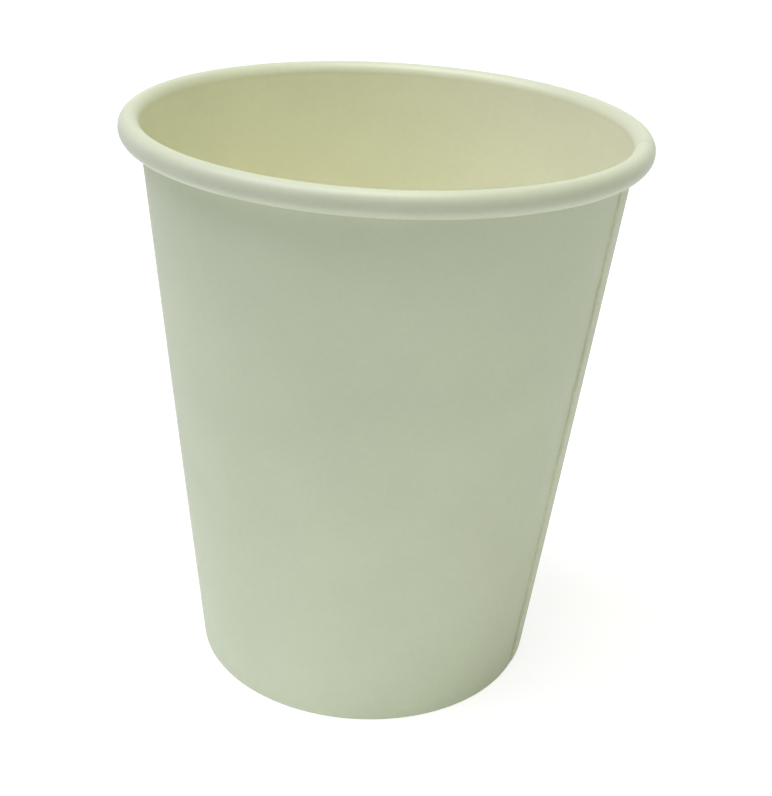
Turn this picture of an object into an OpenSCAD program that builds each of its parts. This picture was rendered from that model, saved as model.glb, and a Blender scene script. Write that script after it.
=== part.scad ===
// Paper coffee cup in two pieces: a side wall rolled from one blank, and a base disc.
// The blank laps over itself at a side seam, rolls outwards at the rim, and turns in and
// up at the foot, where its hem holds the skirt of the base disc.
// Lengths are in millimetres and angles in degrees, with +Z up.
// The origin is the centre of the foot ring, on the table.

/* [Cup] */
// Height from the table to the top of the rolled rim
cup_h = 91; // [70:1:130]
// Outside diameter of the rolled rim
rim_d = 80; // [72:0.5:95]
// Outside diameter of the wall where it meets the table
foot_d = 55.5; // [48:0.5:64]
// Thickness of the wall's paperboard
wall_t = 0.35; // [0.25:0.01:0.45]

/* [Rolled rim] */
// Width of the roll, across the wall
roll_w = 3.3; // [2.6:0.1:4.5]
// Height of the roll
roll_h = 3.7; // [3:0.1:5.5]
// Turn of the roll, from the inside of the rim round to its tucked end
roll_turn = 380; // [350:5:400]
// Gap between the tucked part of the roll and the wall
roll_gap = 0.12; // [0.1:0.01:0.3]

/* [Side seam] */
// Direction of the outer layer's cut edge, seen from above
seam_angle = -23.7; // [-180:0.1:180]
// Width of the overlap, half way up the wall
lap_w = 7; // [4:0.5:12]
// Length of the slope where a layer steps over the other
step_w = 2; // [1:0.25:4]
// Height of the stretch where the seam is pressed flat at each end
press_h = 1; // [0.5:0.1:3]

/* [Foot] */
// Height of the hem's top edge above the table
hem_h = 6.2; // [4:0.1:7]
// Width of the flat ring that stands on the table
stand_w = 0.4; // [0.2:0.05:0.6]
// Clearance on each side of the skirt that the hem holds
skirt_gap = 0.03; // [0.02:0.01:0.1]

/* [Base disc] */
// Thickness of the base's paperboard
base_t = 0.35; // [0.25:0.01:0.45]
// Height of the disc's underside above the table
recess_h = 8; // [7.5:0.1:12]
// Outside radius of the bend between the disc and its skirt
bend_r = 0.8; // [0.6:0.05:1.5]
// Height of the skirt's lower end above the middle of the foot's turn
skirt_lift = 0.1; // [0.05:0.05:1]

/* [Hidden] */
$fn = 180;
board_white = [0.86, 0.87, 0.80];
base_white = [0.84, 0.85, 0.76];

// Angle between the points of the roll's section, and steps of its other curves
roll_step = 10;
turn_steps = 4;
bend_steps = 6;
// How far a piece of the seam reaches into the layer that it joins
bury = wall_t / 2;
// Height by which the seam's slope stays below the outer layer's face, so that no faces coincide
ease = 0.01;

// The middle line of the roll is an ellipse about this centre
roll_r = (rim_d - roll_w) / 2;
roll_z = cup_h - roll_h / 2;
roll_a = (roll_w - wall_t) / 2;
roll_b = (roll_h - wall_t) / 2;

// The middle line of the wall runs straight from the foot to touch that ellipse.
// With heights squashed by a / b the ellipse is a circle, and the line its tangent.
wall_foot_r = (foot_d - wall_t) / 2;
squash = roll_a / roll_b;
run = roll_r - wall_foot_r;
rise = roll_z * squash;
touch = atan2(run, rise) - asin(roll_a / norm([run, rise]));
slope = tan(touch) * squash;
tilt = atan(slope);
along = [sin(tilt), cos(tilt)];
outward = [cos(tilt), -sin(tilt)];

// Radius of the wall's middle line, and of its outer face, at a height
function middle_r(z) = wall_foot_r + slope * z;
function outer_r(z) = middle_r(z) + wall_t / 2 / cos(tilt);

// Past its lowest point the roll tightens, to tuck in behind the wall's outer face
function tighten(turn) = (wall_t + roll_gap) * pow(max(0, turn - 270) / 90, 2);
function roll_point(turn) = [
    roll_r - (roll_a - tighten(turn)) * cos(turn),
    roll_z + (roll_b - tighten(turn)) * sin(turn)
];
function roll_heading(turn) = roll_point(turn + 0.1) - roll_point(turn - 0.1);
function square_to(v) = [-v[1], v[0]] / norm(v);
// A point beside the roll's middle line, on the side away from the roll's centre
function roll_side(turn, off) = roll_point(turn) + off * square_to(roll_heading(turn));
// The roll's points, from where the wall touches it to its end, by way of each quarter turn
roll_turns = concat(
    [touch],
    [for (turn = [roll_step:roll_step:roll_turn - roll_step / 2]) if (turn > touch + roll_step / 4) turn],
    [roll_turn]
);

// The foot's turn is an arc about a point on the skirt's middle line, with a flat below it
turn_r = (wall_t + base_t) / 2 + skirt_gap;
turn_out_r = turn_r + wall_t / 2;
turn_in_r = turn_r - wall_t / 2;
flat_half = asin(stand_w / 2 / turn_out_r);
turn_z = turn_out_r * cos(flat_half);
turn_c = [middle_r(turn_z - turn_r * sin(tilt)) - turn_r * cos(tilt), turn_z];
turn_angles = [
    for (i = [0:turn_steps]) tilt + (90 - flat_half - tilt) * i / turn_steps,
    for (i = [0:turn_steps]) 90 + flat_half + (90 - flat_half + tilt) * i / turn_steps
];
function turn_point(angle, r) = turn_c + r * [cos(angle), -sin(angle)];

// The hem's cut edge, on the hem's middle line
hem_end = turn_point(180 + tilt, turn_r) + along * (hem_h - turn_point(180 + tilt, turn_r)[1]) / cos(tilt);

// The seam, from the outer layer's cut edge to the foot of the slope beyond the inner one
lap_angle = lap_w / outer_r(cup_h / 2) * 180 / PI;
step_angle = step_w / outer_r(cup_h / 2) * 180 / PI;
inner_edge = seam_angle + lap_angle;
lap_low = turn_z;
lap_high = roll_z - roll_b;
floor_z = recess_h + base_t;

// Closed section of the sheet: down its inside face, round the hem's edge and back up
function sheet_section() = concat(
    [for (i = [len(roll_turns) - 1:-1:0]) roll_side(roll_turns[i], wall_t / 2)],
    [for (angle = turn_angles) turn_point(angle, turn_in_r)],
    [hem_end + outward * wall_t / 2, hem_end - outward * wall_t / 2],
    [for (i = [len(turn_angles) - 1:-1:0]) turn_point(turn_angles[i], turn_out_r)],
    [for (turn = roll_turns) roll_side(turn, -wall_t / 2)]
);

// Section of the outer layer of the seam, which lies on the wall's outer face
function lap_section() = [
    [outer_r(lap_low) - bury, lap_low],
    [outer_r(lap_low) - bury / 2, lap_low],
    [outer_r(lap_low + press_h) + wall_t, lap_low + press_h],
    [outer_r(lap_high) + wall_t, lap_high],
    [outer_r(lap_high) - bury, lap_high]
];

// A bar that follows the wall's slope. Its section is a list of corners [angle, lift], where
// lift is the height over the wall's outer face, and each level is [height, share of the lift
// that it has there]. Corners whose lift is below the base line keep it at every level.
module wall_bar(corners, base_line, levels) {
    n = len(corners);
    points = [
        for (level = levels)
            for (corner = corners)
                let (lift = base_line + max(0, corner[1] - base_line) * level[1])
                let (r = outer_r(level[0]) + (corner[1] < base_line ? corner[1] : lift))
                [r * cos(corner[0]), r * sin(corner[0]), level[0]]
    ];
    last = (len(levels) - 1) * n;
    polyhedron(points, [
        [for (i = [0:n - 1]) i],
        [for (i = [n - 1:-1:0]) last + i],
        for (k = [0:len(levels) - 2])
            for (i = [0:n - 1])
                [k * n + i, (k + 1) * n + i, (k + 1) * n + (i + 1) % n, k * n + (i + 1) % n]
    ]);
}

// The slope outside, where the outer layer comes down beyond the inner one
module step_ridge() {
    wall_bar(
        [
            [inner_edge - step_angle / 4, -bury],
            [inner_edge + step_angle * 1.25, -bury],
            [inner_edge + step_angle * 1.25, -bury / 2],
            [inner_edge - step_angle / 16, wall_t - ease],
            [inner_edge - step_angle / 4, wall_t - ease]
        ],
        -bury / 2,
        [[lap_low, 0], [lap_low + press_h, 1], [lap_high, 1]]
    );
}

// The hollow inside, between the inner layer's cut edge and the outer layer's slope
module step_hollow() {
    wall_bar(
        [
            [inner_edge, -2 * wall_t],
            [inner_edge + step_angle * 1.25, -2 * wall_t],
            [inner_edge + step_angle * 1.25, -wall_t - bury / 2],
            [inner_edge, -ease]
        ],
        -wall_t - bury / 2,
        [[floor_z + press_h, 0], [floor_z + 2 * press_h, 1], [lap_high - press_h, 1], [lap_high, 0]]
    );
}

// Side wall: one sheet, with its roll, its seam and its hem
module side_wall() {
    color(board_white)
    difference() {
        union() {
            rotate_extrude() polygon(sheet_section());
            rotate_extrude(angle = lap_angle, start = seam_angle) polygon(lap_section());
            step_ridge();
        }
        step_hollow();
    }
}

// Middle line of the skirt at a height, and the centre of the bend above it
function skirt_r(z) = turn_c[0] + slope * (z - turn_z);
bend_z = floor_z - bend_r;
bend_c = [skirt_r(bend_z) - (bend_r - base_t / 2) / cos(tilt), bend_z];
function bend_point(angle, r) = bend_c + r * [cos(angle), sin(angle)];
skirt_end = [skirt_r(turn_z + skirt_lift), turn_z + skirt_lift];

// Half section of the disc: out along its top, down the skirt, and back under it
function base_section() = concat(
    [[0, floor_z]],
    [for (i = [0:bend_steps]) bend_point(90 - (90 + tilt) * i / bend_steps, bend_r)],
    [skirt_end + outward * base_t / 2, skirt_end - outward * base_t / 2],
    [for (i = [0:bend_steps]) bend_point(-tilt + (90 + tilt) * i / bend_steps, bend_r - base_t)],
    [[0, recess_h]]
);

// Base disc: a flat disc with its rim pressed down into a skirt
module base_disc() {
    color(base_white) rotate_extrude() polygon(base_section());
}

side_wall();
base_disc();
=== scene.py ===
"""Paper coffee cup: a rolled paperboard side wall and a pressed base disc, on a pale floor.

The side wall is one sheet with a thickness, worked out on a grid of two parameters: one runs
down its section, from the tucked end of the rolled rim to the top of the hem, and the other
runs once round the cup and on over the lap. The base disc is its section turned about the axis.
Lengths are in metres and +Z is up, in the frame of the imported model.
"""

import math

import bpy
import numpy as np
from mathutils import Matrix, Vector


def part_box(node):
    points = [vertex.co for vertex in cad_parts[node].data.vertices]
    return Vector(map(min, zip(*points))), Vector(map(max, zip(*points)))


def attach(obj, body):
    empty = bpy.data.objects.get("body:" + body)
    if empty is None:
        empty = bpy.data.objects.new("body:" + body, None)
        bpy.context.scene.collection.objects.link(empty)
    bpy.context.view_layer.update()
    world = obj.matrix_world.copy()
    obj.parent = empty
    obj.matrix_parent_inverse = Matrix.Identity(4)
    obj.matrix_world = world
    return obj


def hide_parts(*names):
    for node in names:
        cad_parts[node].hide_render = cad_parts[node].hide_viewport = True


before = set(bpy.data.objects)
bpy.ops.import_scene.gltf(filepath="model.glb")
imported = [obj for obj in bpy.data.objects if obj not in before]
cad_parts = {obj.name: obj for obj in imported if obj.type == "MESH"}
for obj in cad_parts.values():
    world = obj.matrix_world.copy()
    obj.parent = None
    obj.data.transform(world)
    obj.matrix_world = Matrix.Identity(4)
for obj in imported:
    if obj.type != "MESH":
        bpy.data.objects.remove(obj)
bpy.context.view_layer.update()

bl_info = {
    "name": "Paper Coffee Cup",
    "version": (1, 0, 0),
    "blender": (4, 5, 0),
    "location": "View3D > Sidebar > Paper Cup",
    "description": "Makes a single-wall paper cup with a rolled rim, a lap seam and a hemmed foot",
    "category": "Add Mesh",
}

WALL_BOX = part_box("side_wall")
DISC_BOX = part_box("base_disc")
MM = 0.001
FULL_TURN = 2 * math.pi

# Rows of the side wall's grid, down its section: the roll, the wall with a stretch at each of
# its ends where the seam is pressed flat, the foot's turn and the hem
ROLL_ROWS = 46
PRESS_ROWS = 8
WALL_ROWS = 20
TURN_ROWS = 13
HEM_ROWS = 9
STRAIGHT_ROWS = 2 * PRESS_ROWS + WALL_ROWS

# Columns of the side wall's grid: a layer or a slope of the seam, the way between, and the
# stretch before the lap where the sheet thins to its inner layer, as a share of the slope
SEAM_COLUMNS = 9
COLUMNS = 340
THIN_COLUMNS = 3
THIN_SHARE = 0.25

# Rows and columns of the base disc's grid
DISC_ROWS = 24
BEND_ROWS = 8
SKIRT_ROWS = 8
DISC_COLUMNS = 240

# Angle between two faces past which their common edge is sharp
SHARP = math.radians(40)

# Number of knurl marks round the hem, and the shares of its height in which they fade
KNURLS = 84
KNURL_FADE_LOW = 0.25
KNURL_FADE_HIGH = 0.2

# The wall's unevenness, wave by wave: how many go round the cup, the wave's share of the
# height, where it starts, and how far it is turned from the foot to the roll, in radians
WAVES = ((2, 1.0, 0.7, 0.0), (5, 0.5, 0.0, 4.0), (9, 0.3, 0.0, 0.0))

# The board's clouds and fibres: their sizes, the noise that they are made of, the clouds'
# share of the shade, and how much the shade and the gloss vary with them
CLOUD_SIZE = 7.0 * MM
CLOUD_ROUGHNESS = 0.5
FIBRE_SIZE = 0.45 * MM
FIBRE_ROUGHNESS = 0.65
NOISE_DETAIL = 3.0
CLOUD_SHARE = 0.6
CONTRAST = 1.2
GLOSS_SHIFT = 0.03

# Relief of the clouds, and of the fibres on each kind of face
CLOUD_RELIEF = 0.012 * MM
COATED_RELIEF = 0.006 * MM
LINED_RELIEF = 0.004 * MM
UNCOATED_RELIEF = 0.012 * MM
EDGE_RELIEF = 0.02 * MM

# How many times stronger the cut edge's mottle is than that of the faces
EDGE_MOTTLE = 4

# Where the lining's lighter tone goes over into the darker tone of the same film painted on the
# roll as painted shade, measured along the sheet from the point where the wall touches the roll
ROLL_FADE_START = -1.9 * MM
ROLL_FADE_END = 0.7 * MM

# Tints of the lamps, the width of the suns in the sky, and the distances and size of lamps
COOL = (1.0, 0.98, 1.25)
PLAIN = (1.0, 1.0, 1.0)
WARM = (1.0, 1.0, 0.8)
SUN_WIDTH = math.radians(36)
SUN_DISTANCE = 1.0
TOP_DISTANCE = 0.45
TOP_SIZE = 0.2025

# A painted glow that the floor gives off close round the cup, standing for light that the table
# throws back, and a painted shadow in it where the cup shades the table: their centres and radii,
# and how much of the glow the painted shadow takes away
GLOW_CENTRE = (-0.012, -0.06, 0.0)
GLOW_R = 0.13
SHADE_CENTRE = (0.036, -0.016, 0.0)
SHADE_R = 0.03
SHADE = 0.75

# The floor: half its width, and the tone and the white of what the camera sees of it
FLOOR_HALF = 2.5
SEEN_TONE = 0.4
SEEN_WHITE = 0.76
WHITE = (1.0, 1.0, 1.0, 1.0)

# The camera's picture height in millimetres, and the range that it sees
PICTURE_HEIGHT = 36.0
CLIP_NEAR = 0.01
CLIP_FAR = 20.0


def length(name, description, default):
    """A length property, stored in metres."""
    return bpy.props.FloatProperty(
        name=name, description=description, default=default, min=0.0, precision=5, unit="LENGTH"
    )


def angle(name, description, degrees):
    """An angle property, stored in radians."""
    return bpy.props.FloatProperty(
        name=name, description=description, default=math.radians(degrees), unit="ROTATION"
    )


def colour(name, description, default):
    """A linear colour property."""
    return bpy.props.FloatVectorProperty(
        name=name, description=description, default=default, size=3, min=0.0, max=1.0,
        subtype="COLOR"
    )


def share(name, description, default):
    """A property from 0 to 1."""
    return bpy.props.FloatProperty(
        name=name, description=description, default=default, min=0.0, max=1.0, subtype="FACTOR"
    )


def amount(name, description, default):
    """A plain number property."""
    return bpy.props.FloatProperty(name=name, description=description, default=default, min=0.0)


class PaperCupSizes(bpy.types.PropertyGroup):
    """Sizes of the two pieces of paperboard."""

    cup_h: length("Height", "From the table to the roll's top", WALL_BOX[1][2] - WALL_BOX[0][2])
    rim_d: length("Rim", "Outside diameter of the rolled rim", WALL_BOX[1][0] - WALL_BOX[0][0])
    foot_d: length("Foot", "Outside diameter of the wall at the table", 55.5 * MM)
    wall_t: length("Wall board", "Thickness of the wall's paperboard", 0.35 * MM)
    uneven: length("Unevenness", "Height of the slow waves round the wall", 0.05 * MM)
    roll_w: length("Roll width", "Width of the rolled rim", 3.3 * MM)
    roll_h: length("Roll height", "Height of the rolled rim", 3.7 * MM)
    roll_gap: length("Roll gap", "Gap between the tucked part of the roll and the wall", 0.12 * MM)
    roll_turn: angle("Roll turn", "Turn of the roll, from the inside of the rim to its end", 380)
    seam: angle("Seam", "Direction of the outer layer's cut edge, from above", -23.7)
    lap_w: length("Lap", "Width of the overlap, half way up", 7.0 * MM)
    step_w: length("Step", "Length of the slope where a layer steps over the other", 2.0 * MM)
    press_h: length("Pressed", "Height of the stretch where the seam flattens", 1.0 * MM)
    glue: length("Glue", "Gap between the two layers of the seam", 0.01 * MM)
    stand_w: length("Stand", "Width of the flat ring under the foot", 0.4 * MM)
    hem_h: length("Hem", "Height of the hem's top edge", 6.2 * MM)
    knurl_depth: length("Knurl", "Depth of the marks that press the hem onto the skirt", 0.1 * MM)
    skirt_gap: length("Skirt gap", "Clearance on each side of the base's skirt", 0.03 * MM)
    base_t: length("Base board", "Thickness of the base's paperboard", 0.35 * MM)
    floor_z: length("Floor", "Height of the disc's upper face", DISC_BOX[1][2])
    bend_r: length("Bend", "Outside radius of the bend between disc and skirt", 0.8 * MM)
    skirt_lift: length("Skirt lift", "Height of the skirt's end over the foot's turn", 0.1 * MM)


class PaperCupFinish(bpy.types.PropertyGroup):
    """Colours and surface of the paperboard."""

    outside: colour("Outside", "Coated outer face of the wall", (0.535, 0.593, 0.421))
    # inside, disc and rim are one film lining in three tones: the inside is painted lighter as
    # painted light for the cup's dim hollow, and the disc and the rim are painted darker as
    # painted shade where they catch the most light
    inside: colour("Inside", "Film-lined inner face of the wall", (0.848, 0.857, 0.643))
    disc: colour("Disc", "Film-lined upper face of the base disc", (0.67, 0.68, 0.518))
    rim: colour("Rim", "Film where it is stretched over the rolled rim", (0.525, 0.568, 0.417))
    raw_edge: colour("Raw edge", "Cut edge of the board", (0.70, 0.715, 0.53))
    underside: colour("Underside", "Uncoated lower face of the base disc", (0.58, 0.59, 0.46))
    outside_rough: share("Outside roughness", "Roughness of the outer face", 0.58)
    inside_rough: share("Inside roughness", "Roughness of the film", 0.42)
    edge_rough: share("Edge roughness", "Roughness of the cut edge", 0.85)
    underside_rough: share("Underside roughness", "Roughness of the uncoated face", 0.8)
    mottle: share("Mottle", "How far the colour varies over the board", 0.04)


class PaperCupStage(bpy.types.PropertyGroup):
    """Camera, lamps and floor."""

    camera_back: length("Camera back", "Distance of the camera from the cup's axis", 204.188 * MM)
    camera_up: length("Camera up", "Height of the camera over the table", 140.878 * MM)
    camera_yaw: angle("Camera yaw", "Turn of the camera to the right", 0.567)
    camera_pitch: angle("Camera pitch", "Tilt of the camera downwards", 25.352)
    camera_roll: angle("Camera roll", "Lean of the camera", 3.195)
    focal: amount("Focal length", "In millimetres, for a picture 36 mm high", 62.061)
    side: amount("Side", "Cool light from the left", 1.33)
    front: amount("Front", "Light from the front left", 0.38)
    fill: amount("Fill", "Warm light from the right", 0.42)
    back: amount("Back", "Light from behind", 0.16)
    steep: amount("Steep", "Steep light from the front", 0.82)
    top: amount("Top", "Power of the warm lamp straight above", 0.6)
    sky: amount("Sky", "Strength of the light from all round", 0.02)
    floor: share("Floor", "How much light the floor throws back", 0.93)
    # table_glow is the strength of the floor's painted glow, which stands for light thrown back by
    # the table
    table_glow: amount("Table glow", "Extra light from the table close round the cup", 0.54)


def smooth_step(x):
    """0 below 0, 1 above 1, and 3 x^2 - 2 x^3 between."""
    x = np.clip(x, 0.0, 1.0)
    return x * x * (3.0 - 2.0 * x)


class CupLines:
    """The middle lines of the cup's sections, in the half plane of radius and height.

    The roll is an ellipse that tightens past its lowest point. The wall is the straight line
    from the foot that touches that ellipse, found where the ellipse squashed to a circle has
    its tangent. The foot's turn is an arc about a point on the middle line of the base's skirt.
    """

    def __init__(self, s):
        self.s = s
        self.roll_a = (s.roll_w - s.wall_t) / 2
        self.roll_b = (s.roll_h - s.wall_t) / 2
        self.roll_c = np.array([(s.rim_d - s.roll_w) / 2, s.cup_h - s.roll_h / 2])
        self.roll_low = self.roll_c[1] - self.roll_b
        self.foot_r = (s.foot_d - s.wall_t) / 2
        squash = self.roll_a / self.roll_b
        run = self.roll_c[0] - self.foot_r
        rise = self.roll_c[1] * squash
        self.touch = math.atan2(run, rise) - math.asin(self.roll_a / math.hypot(run, rise))
        self.slope = math.tan(self.touch) * squash
        self.tilt = math.atan(self.slope)
        self.along = np.array([math.sin(self.tilt), math.cos(self.tilt)])
        self.outward = np.array([math.cos(self.tilt), -math.sin(self.tilt)])
        self.turn_r = (s.wall_t + s.base_t) / 2 + s.skirt_gap
        turn_out_r = self.turn_r + s.wall_t / 2
        turn_z = turn_out_r * math.cos(math.asin(s.stand_w / 2 / turn_out_r))
        start_z = turn_z - self.turn_r * math.sin(self.tilt)
        turn_x = self.middle_r(start_z) - self.turn_r * math.cos(self.tilt)
        self.turn_c = np.array([turn_x, turn_z])

    def middle_r(self, z):
        """Radius of the wall's middle line at a height."""
        return self.foot_r + self.slope * z

    def roll(self):
        """The roll, from its tucked end back to where the wall touches it.

        An ellipse whose half axes shrink with the square of the turn past its lowest point.
        """
        turn = np.linspace(self.s.roll_turn, self.touch, ROLL_ROWS)
        lowest = 0.75 * FULL_TURN
        late = np.maximum(turn - lowest, 0.0) / (FULL_TURN - lowest)
        tighten = (self.s.wall_t + self.s.roll_gap) * late**2
        r = self.roll_c[0] - (self.roll_a - tighten) * np.cos(turn)
        z = self.roll_c[1] + (self.roll_b - tighten) * np.sin(turn)
        return np.stack([r, z], axis=1)

    def turn(self):
        """The foot's turn, half a circle from the wall round to the hem."""
        a = np.linspace(self.tilt, math.pi + self.tilt, TURN_ROWS)
        return self.turn_c + self.turn_r * np.stack([np.cos(a), -np.sin(a)], axis=1)

    def section(self):
        """The whole middle line of the side wall: its points, normals and distances along it.

        A normal is the line's heading turned a quarter left, out of the sheet's coated face.
        """
        roll = self.roll()
        turn = self.turn()
        # the rows lie closer together at both ends of the wall, where the seam is pressed flat
        top, foot = roll[-1][1], turn[0][1]
        press_top, press_foot = self.roll_low - self.s.press_h, self.turn_c[1] + self.s.press_h
        height = np.concatenate([
            np.linspace(top, press_top, PRESS_ROWS + 1)[1:],
            np.linspace(press_top, press_foot, WALL_ROWS + 2)[1:-1],
            np.linspace(press_foot, foot, PRESS_ROWS + 1)[:-1],
        ])
        wall = roll[-1] + (turn[0] - roll[-1]) * ((top - height) / (top - foot))[:, None]
        up = np.linspace(0.0, 1.0, HEM_ROWS + 1)[1:, None]
        hem = turn[-1] + self.along * up * (self.s.hem_h - turn[-1][1]) / math.cos(self.tilt)
        line = np.concatenate([roll, wall, turn, hem])
        heading = np.gradient(line, axis=0)
        heading /= np.linalg.norm(heading, axis=1)[:, None]
        # the two straight stretches keep their own exact normals
        heading[ROLL_ROWS - 1:ROLL_ROWS + STRAIGHT_ROWS + 1] = -self.along
        heading[-HEM_ROWS - 1:] = self.along
        normal = np.stack([-heading[:, 1], heading[:, 0]], axis=1)
        steps = np.linalg.norm(np.diff(line, axis=0), axis=1)
        distance = np.concatenate([[0.0], np.cumsum(steps)])
        return line, normal, distance


def turned(radius, height, azimuth):
    """Points at those radii and heights, turned to those azimuths about the cup's axis."""
    return np.stack([radius * np.cos(azimuth), radius * np.sin(azimuth), height], axis=-1)


def sheet_faces(rows, columns):
    """Quads of a closed sheet whose outer grid comes first and whose inner grid comes second.

    Returns the quads and, for each, 0 on the outer face, 1 on the inner one and 2 on an edge.
    """
    outer = np.arange(rows * columns).reshape(rows, columns)
    inner = outer + rows * columns

    def patch(a, b, c, d):
        return np.stack([a, b, c, d], axis=-1).reshape(-1, 4)

    quads = [
        patch(outer[:-1, :-1], outer[1:, :-1], outer[1:, 1:], outer[:-1, 1:]),
        patch(inner[:-1, :-1], inner[:-1, 1:], inner[1:, 1:], inner[1:, :-1]),
        patch(outer[:-1, 0], inner[:-1, 0], inner[1:, 0], outer[1:, 0]),
        patch(outer[:-1, -1], outer[1:, -1], inner[1:, -1], inner[:-1, -1]),
        patch(outer[0, :-1], outer[0, 1:], inner[0, 1:], inner[0, :-1]),
        patch(outer[-1, :-1], inner[-1, :-1], inner[-1, 1:], outer[-1, 1:]),
    ]
    kinds = [np.full(len(q), kind) for q, kind in zip(quads, (0, 1, 2, 2, 2, 2))]
    return np.concatenate(quads), np.concatenate(kinds)


def add_piece(name, points, faces, face_kinds, materials, uv, node):
    """Puts a closed mesh into the scene as a piece that stands for a CAD node."""
    mesh = bpy.data.meshes.new(name)
    mesh.from_pydata(points.tolist(), [], faces)
    for material in materials:
        mesh.materials.append(material)
    mesh.polygons.foreach_set("material_index", face_kinds.astype(np.int32))
    mesh.polygons.foreach_set("use_smooth", np.ones(len(faces), dtype=bool))
    corners = np.empty(len(mesh.loops), dtype=np.int32)
    mesh.loops.foreach_get("vertex_index", corners)
    mesh.uv_layers.new(name="board").data.foreach_set("uv", uv[corners].ravel())
    mesh.set_sharp_from_angle(angle=SHARP)
    mesh.update()
    piece = bpy.data.objects.new(name, mesh)
    bpy.context.scene.collection.objects.link(piece)
    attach(piece, "root")
    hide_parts(node)


class Number:
    """A number that varies over a surface. Python's operators on it add Math nodes."""

    def __init__(self, shader, socket):
        self.shader = shader
        self.socket = socket

    def _math(self, operation, *values):
        return self.shader.add("ShaderNodeMath", {"operation": operation}, *values)

    def __add__(self, other):
        return self._math("ADD", self, other)

    def __sub__(self, other):
        return self._math("SUBTRACT", self, other)

    def __rsub__(self, other):
        return self._math("SUBTRACT", other, self)

    def __mul__(self, other):
        return self._math("MULTIPLY", self, other)

    __radd__ = __add__
    __rmul__ = __mul__


class Shader:
    """The nodes of a material or of the world."""

    def __init__(self, tree):
        self.tree = tree
        tree.nodes.clear()

    def add(self, kind, settings=None, *values, output=0, **named):
        """Adds one node and returns one of its outputs.

        The settings come first. Then values fill the inputs in order, and named ones by name,
        with _ for a space. A value is another node's output, or what the input itself holds.
        """
        node = self.tree.nodes.new(kind)
        for key, value in (settings or {}).items():
            setattr(node, key, value)
        inputs = list(enumerate(values))
        inputs += [(key.replace("_", " "), value) for key, value in named.items()]
        for key, value in inputs:
            if isinstance(value, Number):
                self.tree.links.new(value.socket, node.inputs[key])
            else:
                node.inputs[key].default_value = value
        return Number(self, node.outputs[output]) if node.outputs else None

    def noise(self, where, size, roughness):
        """Noise from -1 to 1 whose blobs are about that size across."""
        grain = self.add(
            "ShaderNodeTexNoise", Vector=where, Scale=0.5 / size, Detail=NOISE_DETAIL,
            Roughness=roughness
        )
        return grain * 2.0 - 1.0

    def spot(self, centre, radius):
        """A soft round spot, exp(-(d / radius)^2) at a distance d from its centre."""
        where = self.add("ShaderNodeTexCoord", output="Object")
        away = self.add(
            "ShaderNodeVectorMath", {"operation": "DISTANCE"}, where, centre, output="Value"
        )
        near = away * (1.0 / radius)
        return self.add("ShaderNodeMath", {"operation": "EXPONENT"}, near * near * -1.0)

    def mixed(self, first, second, factor):
        """A colour that goes from the first to the second as the factor goes from 0 to 1."""
        return self.add(
            "ShaderNodeMix", {"data_type": "RGBA"}, Factor=factor, A=first, B=second,
            output="Result"
        )

    def mottled(self, base, mottle, factor):
        """A colour that is lighter than base by the share mottle at 0 and darker at 1."""
        light, dark = np.array(base) * (1 + mottle), np.array(base) * (1 - mottle)
        return self.mixed((*light, 1.0), (*dark, 1.0), factor)

    def bump(self, height, distance, **named):
        """A bump of that height, in units of distance."""
        return self.add("ShaderNodeBump", Height=height, Distance=distance, Strength=1.0, **named)


def board_material(name, base, roughness, relief, mottle, rolled=None, roll_end=0.0):
    """Paperboard: a base colour with soft clouds and fine fibres, and a faint grain in relief.

    Where rolled is given, that colour takes over towards the sheet's rolled edge, from about
    the distance roll_end along the sheet.
    """
    material = bpy.data.materials.new(name)
    material.use_nodes = True
    shader = Shader(material.node_tree)
    where = shader.add("ShaderNodeTexCoord", output="Object")
    clouds = shader.noise(where, CLOUD_SIZE, CLOUD_ROUGHNESS)
    fibres = shader.noise(where, FIBRE_SIZE, FIBRE_ROUGHNESS)
    shade = (clouds * CLOUD_SHARE + fibres * (1.0 - CLOUD_SHARE)) * CONTRAST + 0.5
    tone = shader.mottled(base, mottle, shade)
    # the roll's tone is the same film painted darker, a painted shade, faded in towards the rolled
    # edge
    if rolled is not None:
        board = shader.add("ShaderNodeTexCoord", output="UV")
        along = shader.add("ShaderNodeSeparateXYZ", None, board, output="Y")
        flat = shader.add(
            "ShaderNodeMapRange", {"interpolation_type": "SMOOTHSTEP"}, along,
            roll_end + ROLL_FADE_START, roll_end + ROLL_FADE_END
        )
        tone = shader.mixed(shader.mottled(rolled, mottle, shade), tone, flat)
    gloss = roughness + (clouds * GLOSS_SHIFT + fibres * GLOSS_SHIFT)
    waves = shader.bump(clouds, CLOUD_RELIEF)
    grain = shader.bump(fibres, relief, Normal=waves)
    surface = shader.add(
        "ShaderNodeBsdfPrincipled", Base_Color=tone, Roughness=gloss, Normal=grain
    )
    shader.add("ShaderNodeOutputMaterial", None, surface)
    return material


def coated_material(finish):
    """The wall's clay-coated outer face: satin, slightly mottled."""
    return board_material(
        "outer_face", finish.outside, finish.outside_rough, COATED_RELIEF, finish.mottle
    )


def lined_wall_material(finish, roll_end):
    """The wall's film-lined inner face, painted lighter as painted light inside the cup, which
    goes over into the same film painted darker on the roll as painted shade.
    """
    return board_material(
        "lined_wall", finish.inside, finish.inside_rough, LINED_RELIEF, finish.mottle,
        finish.rim, roll_end
    )


def lined_disc_material(finish):
    """The film-lined upper face of the base, the same film as the wall's lining painted darker as
    painted shade where the light from above falls on it.
    """
    return board_material(
        "lined_disc", finish.disc, finish.inside_rough, LINED_RELIEF, finish.mottle
    )


def uncoated_material(finish):
    """The uncoated underside of the base."""
    return board_material(
        "uncoated_face", finish.underside, finish.underside_rough, UNCOATED_RELIEF, finish.mottle
    )


def edge_material(finish):
    """The raw cut edge, where the board's plies and fibres show."""
    return board_material(
        "raw_edge", finish.raw_edge, finish.edge_rough, EDGE_RELIEF, finish.mottle * EDGE_MOTTLE
    )


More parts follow.
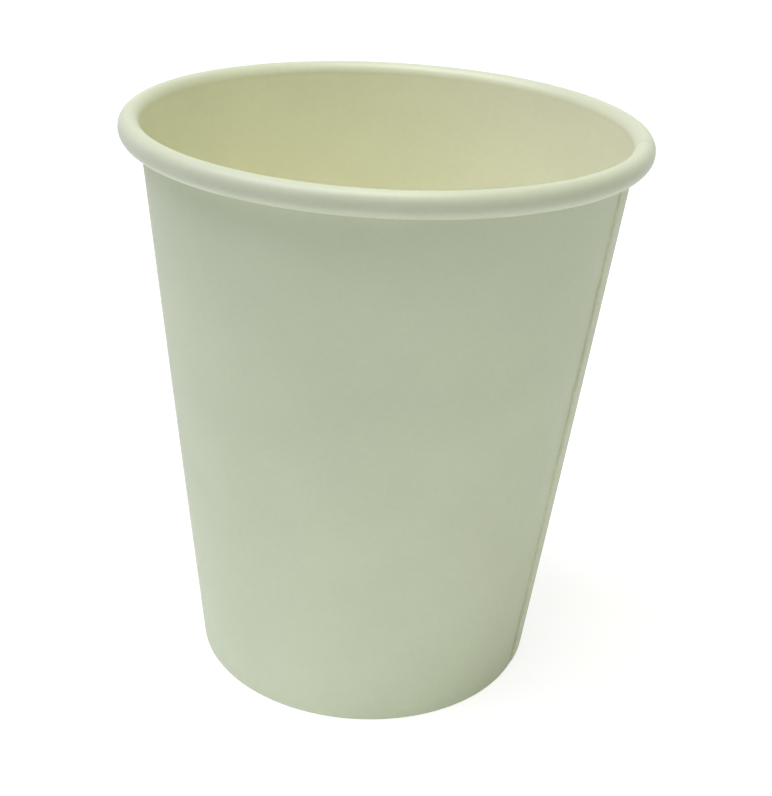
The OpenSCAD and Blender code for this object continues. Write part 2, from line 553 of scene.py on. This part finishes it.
def round_the_cup(lines):
    """The columns' places round the sheet, in radians from the outer layer's cut edge.

    They lie closer together at the seam. Also returns the angles of the lap and of the step.
    """
    s = lines.s
    outside_r = lines.middle_r(s.cup_h / 2) + s.wall_t / 2
    lap = s.lap_w / outside_r
    step = s.step_w / outside_r
    thin = step * THIN_SHARE
    marks = [
        np.linspace(0, lap, SEAM_COLUMNS, endpoint=False),
        np.linspace(lap, lap + step, SEAM_COLUMNS, endpoint=False),
        np.linspace(lap + step, FULL_TURN - thin, COLUMNS, endpoint=False),
        np.linspace(FULL_TURN - thin, FULL_TURN, THIN_COLUMNS, endpoint=False),
        np.linspace(FULL_TURN, FULL_TURN + lap, SEAM_COLUMNS),
    ]
    return np.concatenate(marks), lap, step


def seam_offsets(lines, height, way, lap, step):
    """Offsets of the sheet's outer and inner face from its middle line, along the normal.

    Away from the seam they are plus and minus half the board. Over the lap the outer layer is
    lifted by one board, and a smooth step brings it down beyond the inner layer's edge. In the
    roll, the foot and the hem the two layers are pressed thinner, so that they and the glue
    between them fit the space of one.
    """
    s = lines.s
    t = s.wall_t
    pressed = np.maximum(
        smooth_step((height - lines.roll_low + s.press_h) / s.press_h),
        smooth_step((lines.turn_c[1] + s.press_h - height) / s.press_h),
    )
    pressed[ROLL_ROWS + STRAIGHT_ROWS:] = 1.0
    layer = (t - pressed * (t + s.glue) / 2)[:, None]
    # how far each column belongs to the outer layer of the seam, and how far to the inner one
    thin = step * THIN_SHARE
    over = 1.0 - smooth_step((way - lap) / step)[None, :]
    under = smooth_step((way - FULL_TURN + thin) / thin)[None, :]
    outer = t / 2 + over * (2 * layer + s.glue - t) + under * (layer - t)
    inner = -t / 2 + over * (layer + s.glue)
    return outer, inner


def wall_unevenness(lines, height, way):
    """How far the wall lies out of round: a sum of sine waves, none at the roll and the foot.

    A whole number of each goes round the cup, so the two layers of the lap share them.
    """
    up = np.clip((height - lines.turn_c[1]) / (lines.roll_low - lines.turn_c[1]), 0.0, 1.0)
    up[:ROLL_ROWS] = 0.0
    up[ROLL_ROWS + STRAIGHT_ROWS:] = 0.0
    up = up[:, None]
    waves = sum(
        part * np.sin(count * way + start + lean * up) for count, part, start, lean in WAVES
    )
    return lines.s.uneven * np.sin(math.pi * up) * waves


def knurl_press(depth, rows, way):
    """How deep the knurl marks press: a cosine round the hem, the last of the section's rows."""
    up = np.linspace(0.0, 1.0, HEM_ROWS)
    on_hem = np.zeros(rows)
    on_hem[-HEM_ROWS:] = smooth_step(np.minimum(up / KNURL_FADE_LOW, (1.0 - up) / KNURL_FADE_HIGH))
    return depth * on_hem[:, None] * (0.5 + 0.5 * np.cos(way * KNURLS))


def side_wall_sheet(s):
    """The side wall as one sheet with a thickness, as a grid of section times way round.

    A point of either face is the section's point, moved along the section's normal by that
    face's offset there and turned about the axis. Nothing goes below the table.
    """
    lines = CupLines(s)
    line, normal, distance = lines.section()
    way, lap, step = round_the_cup(lines)
    height = line[:, 1]
    outer, inner = seam_offsets(lines, height, way, lap, step)
    uneven = wall_unevenness(lines, height, way)
    press = knurl_press(s.knurl_depth, len(line), way)
    grids = []
    for offset in (outer + uneven - press, inner + uneven):
        radius = line[:, 0:1] + offset * normal[:, 0:1]
        z = np.maximum(line[:, 1:2] + offset * normal[:, 1:2], 0.0)
        grids.append(turned(radius, z, (s.seam + way)[None, :]))
    points = np.concatenate([grid.reshape(-1, 3) for grid in grids])
    quads, kinds = sheet_faces(len(line), len(way))
    board = np.stack(np.broadcast_arrays(way[None, :] * lines.foot_r, distance[:, None]), axis=-1)
    uv = np.concatenate([board.reshape(-1, 2)] * 2)
    return points, quads.tolist(), kinds, uv, distance[ROLL_ROWS - 1]


def base_disc_section(s):
    """Upper and lower face of the base, from the centre out and down the skirt.

    The disc is level, its rim bends down through an arc, and the skirt follows the wall's slope.
    """
    lines = CupLines(s)
    bend_z = s.floor_z - s.bend_r
    skirt_r = lines.turn_c[0] + lines.slope * (bend_z - lines.turn_c[1])
    centre = np.array([skirt_r - (s.bend_r - s.base_t / 2) / math.cos(lines.tilt), bend_z])
    a = np.linspace(math.pi / 2, -lines.tilt, BEND_ROWS)
    spoke = np.stack([np.cos(a), np.sin(a)], axis=1)
    end_z = lines.turn_c[1] + s.skirt_lift
    end = np.array([lines.turn_c[0] + lines.slope * s.skirt_lift, end_z])
    out = np.linspace(0.0, 1.0, DISC_ROWS, endpoint=False)[1:, None]
    down = np.linspace(0.0, 1.0, SKIRT_ROWS + 1)[1:, None]
    faces = []
    for radius, side in ((s.bend_r, 0.5), (s.bend_r - s.base_t, -0.5)):
        bend = centre + radius * spoke
        disc = np.concatenate([out * bend[0, 0], np.full_like(out, bend[0, 1])], axis=1)
        skirt = bend[-1] + (end + lines.outward * side * s.base_t - bend[-1]) * down
        faces.append(np.concatenate([disc, bend, skirt]))
    return faces


def base_disc_sheet(s):
    """The base as a surface of revolution of its two faces, joined by its cut edge.

    The rings of the upper face come first, then those of the lower one, then the two centres.
    """
    upper, lower = base_disc_section(s)
    columns = DISC_COLUMNS
    azimuth = np.linspace(0.0, FULL_TURN, columns, endpoint=False)[None, :]
    grids = [turned(face[:, 0:1], face[:, 1:2] + 0 * azimuth, azimuth) for face in (upper, lower)]
    rows = len(upper)
    top = np.arange(rows * columns).reshape(rows, columns)
    under = top + rows * columns
    after = np.roll(np.arange(columns), -1)

    def band(near, far):
        return np.stack([near, far, far[after], near[after]], axis=-1)

    quads = [band(top[i], top[i + 1]) for i in range(rows - 1)]
    kinds = [np.zeros(columns)] * (rows - 1)
    quads.append(band(top[-1], under[-1]))
    kinds.append(np.full(columns, 2.0))
    quads += [band(under[i + 1], under[i]) for i in range(rows - 1)]
    kinds += [np.ones(columns)] * (rows - 1)
    top_pole, under_pole = 2 * rows * columns, 2 * rows * columns + 1
    fans = [
        np.stack([np.full(columns, top_pole), top[0], top[0][after]], axis=-1),
        np.stack([np.full(columns, under_pole), under[0][after], under[0]], axis=-1),
    ]
    centres = np.array([[0.0, 0.0, upper[0, 1]], [0.0, 0.0, lower[0, 1]]])
    points = np.concatenate([grid.reshape(-1, 3) for grid in grids] + [centres])
    faces = np.concatenate(quads).tolist() + np.concatenate(fans).tolist()
    kinds = np.concatenate(kinds + [np.zeros(columns), np.ones(columns)])
    return points, faces, kinds, points[:, :2].copy()


class PAPERCUP_OT_side_wall(bpy.types.Operator):
    """Makes the side wall: one sheet with its rolled rim, lap seam and hem"""

    bl_idname = "paper_cup.side_wall"
    bl_label = "Side Wall"

    def execute(self, context):
        finish = context.scene.paper_cup_finish
        points, faces, kinds, uv, roll_end = side_wall_sheet(context.scene.paper_cup_sizes)
        materials = [
            coated_material(finish), lined_wall_material(finish, roll_end), edge_material(finish)
        ]
        add_piece(
            "side_wall_board", points, faces, kinds, materials, uv, "side_wall"
        )
        return {"FINISHED"}


class PAPERCUP_OT_base_disc(bpy.types.Operator):
    """Makes the base disc with its skirt"""

    bl_idname = "paper_cup.base_disc"
    bl_label = "Base Disc"

    def execute(self, context):
        finish = context.scene.paper_cup_finish
        points, faces, kinds, uv = base_disc_sheet(context.scene.paper_cup_sizes)
        materials = [
            lined_disc_material(finish), uncoated_material(finish), edge_material(finish)
        ]
        add_piece(
            "base_disc_board", points, faces, kinds, materials, uv, "base_disc"
        )
        return {"FINISHED"}


def add_camera(stage):
    """The camera, which looks at the cup from above its front with a slight lean."""
    forward = Vector((
        math.sin(stage.camera_yaw) * math.cos(stage.camera_pitch),
        math.cos(stage.camera_yaw) * math.cos(stage.camera_pitch),
        -math.sin(stage.camera_pitch),
    ))
    level = Vector((math.cos(stage.camera_yaw), -math.sin(stage.camera_yaw), 0.0))
    upright = level.cross(forward)
    right = level * math.cos(stage.camera_roll) + upright * math.sin(stage.camera_roll)
    up = right.cross(forward)
    data = bpy.data.cameras.new("photo_camera")
    data.sensor_fit = "VERTICAL"
    data.sensor_height = PICTURE_HEIGHT
    data.lens = stage.focal
    data.clip_start = CLIP_NEAR
    data.clip_end = CLIP_FAR
    camera = bpy.data.objects.new("photo_camera", data)
    turn = Matrix((right, up, -forward)).transposed().to_4x4()
    camera.matrix_world = Matrix.Translation((0.0, -stage.camera_back, stage.camera_up)) @ turn
    bpy.context.scene.collection.objects.link(camera)
    bpy.context.scene.camera = camera


def add_lamp(name, kind, tint, azimuth, elevation, power):
    """A lamp in that direction from the cup, in degrees, turned to it: a wide sun or a square."""
    data = bpy.data.lights.new(name, kind)
    data.energy = power
    data.color = tint
    if kind == "SUN":
        distance = SUN_DISTANCE
        data.angle = SUN_WIDTH
    else:
        distance = TOP_DISTANCE
        data.shape = "SQUARE"
        data.size = TOP_SIZE
    flat = math.cos(math.radians(elevation))
    towards = Vector((
        flat * math.cos(math.radians(azimuth)), flat * math.sin(math.radians(azimuth)),
        math.sin(math.radians(elevation)),
    ))
    lamp = bpy.data.objects.new(name, data)
    lamp.location = towards * distance
    lamp.rotation_euler = towards.to_track_quat("Z", "Y").to_euler()
    lamp.visible_camera = False
    bpy.context.scene.collection.objects.link(lamp)


def seen_share(shader):
    """1 for what is seen straight, in a gloss or through glass, and 0 for all other light."""
    straight = shader.add("ShaderNodeLightPath", output="Is Camera Ray")
    in_gloss = shader.add("ShaderNodeLightPath", output="Is Glossy Ray")
    through = shader.add("ShaderNodeLightPath", output="Is Transmission Ray")
    seen = straight + in_gloss + through
    return shader.add("ShaderNodeMath", {"operation": "MINIMUM"}, seen, 1.0)


def add_world(stage):
    """Even light from all round, in front of a white background."""
    world = bpy.data.worlds.new("studio")
    world.use_nodes = True
    shader = Shader(world.node_tree)
    light = shader.add("ShaderNodeBackground", Color=WHITE, Strength=stage.sky)
    white = shader.add("ShaderNodeBackground", Color=WHITE, Strength=1.0)
    both = shader.add("ShaderNodeMixShader", None, seen_share(shader), light, white)
    shader.add("ShaderNodeOutputWorld", None, both)
    bpy.context.scene.world = world


def floor_material(stage):
    """White to the camera, with the cup's soft shadow.

    For all other light it is pale. Close round the cup it also gives off a painted glow of its
    own, which stands for light that the table throws back, and a painted shadow takes much of that
    glow away where the cup shades it.
    """
    material = bpy.data.materials.new("floor_white")
    material.use_nodes = True
    shader = Shader(material.node_tree)
    lit = shader.add("ShaderNodeBsdfDiffuse", Color=(stage.floor, stage.floor, stage.floor, 1.0))
    # painted glow round the cup, with a painted shadow taken out of it where the cup shades the
    # table
    falloff = shader.spot(GLOW_CENTRE, GLOW_R) * (1.0 - shader.spot(SHADE_CENTRE, SHADE_R) * SHADE)
    glow = shader.add("ShaderNodeEmission", Color=WHITE, Strength=falloff * stage.table_glow)
    lit_and_painted_glow = shader.add("ShaderNodeAddShader", None, lit, glow)
    shaded = shader.add("ShaderNodeBsdfDiffuse", Color=(SEEN_TONE, SEEN_TONE, SEEN_TONE, 1.0))
    white = shader.add("ShaderNodeEmission", Color=WHITE, Strength=SEEN_WHITE)
    looks = shader.add("ShaderNodeAddShader", None, shaded, white)
    both = shader.add("ShaderNodeMixShader", None, seen_share(shader), lit_and_painted_glow, looks)
    shader.add("ShaderNodeOutputMaterial", None, both)
    return material


def add_floor(stage):
    """A wide level floor at the cup's foot."""
    half = FLOOR_HALF
    mesh = bpy.data.meshes.new("floor")
    corners = [(-half, -half, 0.0), (half, -half, 0.0), (half, half, 0.0), (-half, half, 0.0)]
    mesh.from_pydata(corners, [], [(0, 1, 2, 3)])
    mesh.materials.append(floor_material(stage))
    floor = bpy.data.objects.new("floor", mesh)
    bpy.context.scene.collection.objects.link(floor)


class PAPERCUP_OT_stage(bpy.types.Operator):
    """Makes the camera, the lamps, the white surroundings and the floor"""

    bl_idname = "paper_cup.stage"
    bl_label = "Stage"

    def execute(self, context):
        stage = context.scene.paper_cup_stage
        add_camera(stage)
        add_world(stage)
        add_floor(stage)
        add_lamp("side_light", "SUN", COOL, azimuth=180, elevation=60, power=stage.side)
        add_lamp("front_light", "SUN", PLAIN, azimuth=225, elevation=60, power=stage.front)
        add_lamp("fill_light", "SUN", WARM, azimuth=330, elevation=40, power=stage.fill)
        add_lamp("back_light", "SUN", PLAIN, azimuth=90, elevation=60, power=stage.back)
        add_lamp("steep_light", "SUN", PLAIN, azimuth=270, elevation=76, power=stage.steep)
        add_lamp("top_lamp", "AREA", WARM, azimuth=90, elevation=88, power=stage.top)
        context.scene.view_settings.view_transform = "Standard"
        return {"FINISHED"}


class PAPERCUP_PT_panel(bpy.types.Panel):
    """Sizes, finish and stage of the paper cup"""

    bl_idname = "PAPERCUP_PT_panel"
    bl_label = "Paper Cup"
    bl_space_type = "VIEW_3D"
    bl_region_type = "UI"
    bl_category = "Paper Cup"

    def draw(self, context):
        scene = context.scene
        for group in (scene.paper_cup_sizes, scene.paper_cup_finish, scene.paper_cup_stage):
            box = self.layout.box()
            for name in group.__annotations__:
                box.prop(group, name)
        for operator in (PAPERCUP_OT_side_wall, PAPERCUP_OT_base_disc, PAPERCUP_OT_stage):
            self.layout.operator(operator.bl_idname)


CLASSES = (
    PaperCupSizes,
    PaperCupFinish,
    PaperCupStage,
    PAPERCUP_OT_side_wall,
    PAPERCUP_OT_base_disc,
    PAPERCUP_OT_stage,
    PAPERCUP_PT_panel,
)


def register():
    """Registers the classes and hangs the properties on the scene."""
    for item in CLASSES:
        bpy.utils.register_class(item)
    bpy.types.Scene.paper_cup_sizes = bpy.props.PointerProperty(type=PaperCupSizes)
    bpy.types.Scene.paper_cup_finish = bpy.props.PointerProperty(type=PaperCupFinish)
    bpy.types.Scene.paper_cup_stage = bpy.props.PointerProperty(type=PaperCupStage)


def unregister():
    """Takes the properties and classes away again."""
    del bpy.types.Scene.paper_cup_stage
    del bpy.types.Scene.paper_cup_finish
    del bpy.types.Scene.paper_cup_sizes
    for item in reversed(CLASSES):
        bpy.utils.unregister_class(item)


def main():
    """Makes the whole scene."""
    register()
    bpy.ops.paper_cup.side_wall()
    bpy.ops.paper_cup.base_disc()
    bpy.ops.paper_cup.stage()


if __name__ == "__main__":
    main()
